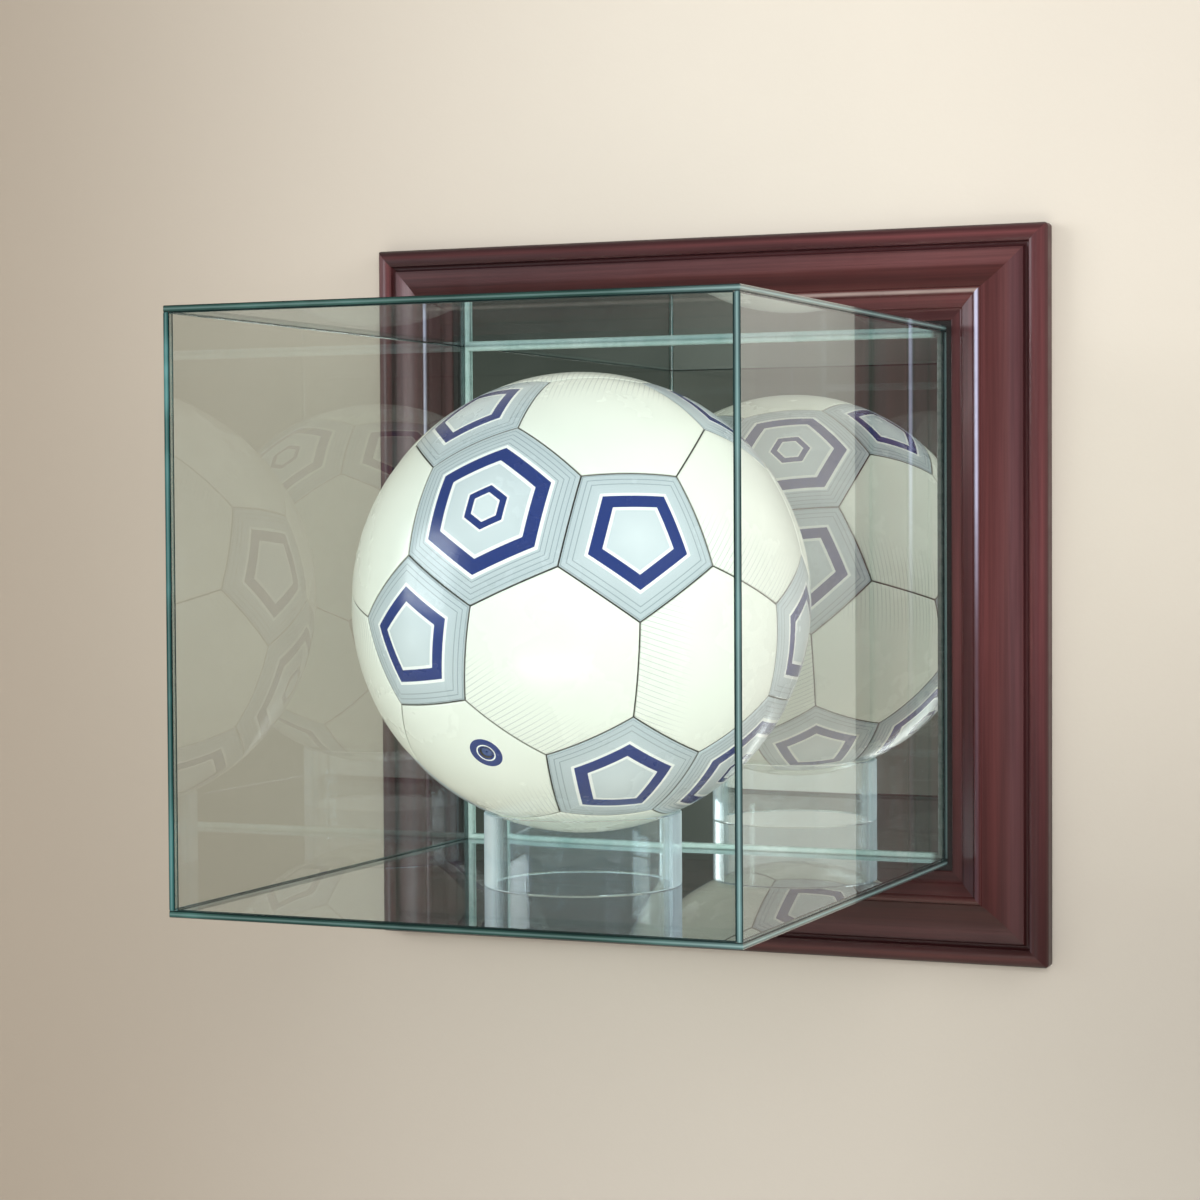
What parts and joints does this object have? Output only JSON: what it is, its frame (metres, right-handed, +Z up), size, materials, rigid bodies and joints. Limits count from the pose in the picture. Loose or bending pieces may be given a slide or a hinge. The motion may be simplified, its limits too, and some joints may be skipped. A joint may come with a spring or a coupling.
{
  "type": "ball display case",
  "caption": "Wall-hung glass display case with a mitred wooden frame, a hinged mirror back and a clear ring stand that holds a soccer ball.",
  "frame": {"origin": "on the wall plane at the back of the frame, midway between the round entries of the two keyhole hangers", "axes": "+Z up, +Y into the wall, the front glass faces -Y, +X to the right as seen from the front"},
  "size_m": [0.377, 0.318, 0.377],
  "materials": {
    "cherry_wood": "dark cherry stain under satin lacquer",
    "steel": "plain zinc plated",
    "brass": "brushed",
    "magnet": "nickel plated",
    "clear_glass": "polished edges, faint green tint",
    "mirror": "silvered glass",
    "board": "smooth fibreboard",
    "liner": "matt",
    "seal": "translucent silicone",
    "acrylic": "clear cast acrylic",
    "white_panel": "glossy coated",
    "grey_panel": "glossy coated",
    "bladder": "matt",
    "valve": "matt"
  },
  "bodies": {
    "case": {"frame_top_rail": "cherry_wood", "frame_bottom_rail": "cherry_wood", "frame_left_stile": "cherry_wood", "frame_right_stile": "cherry_wood", "corner_nails": "steel", "hanger_plates": "steel", "hanger_screws": "steel", "hinge_frame_leaves": "brass", "hinge_frame_screws": "brass", "hinge_pins": "steel", "catch_magnets": "magnet", "top_glass": "clear_glass", "bottom_glass": "clear_glass", "left_glass": "clear_glass", "right_glass": "clear_glass", "front_glass": "clear_glass", "glass_liner": "liner", "dust_seal": "seal", "ring_stand": "acrylic"},
    "back_door": {"hinge_door_leaves": "brass", "hinge_door_screws": "brass", "catch_discs": "steel", "backing_board": "board", "mirror": "mirror"},
    "ball": {"ball_pentagon_panels": "grey_panel", "ball_hexagon_panels": "white_panel", "ball_bladder": "bladder", "ball_valve": "valve"}
  },
  "joints": [
    {"name": "back_door_hinge", "type": "hinge", "parent": "case", "child": "back_door", "pos_m": [-0.1546, -0.0016, -0.167], "axis": [0, 0, 1], "range_deg": [0, 105]},
    {"name": "ball_turn", "type": "hinge", "parent": "case", "child": "ball", "pos_m": [0, -0.165, -0.16613], "axis": [0, 0, 1], "continuous": true}
  ]
}
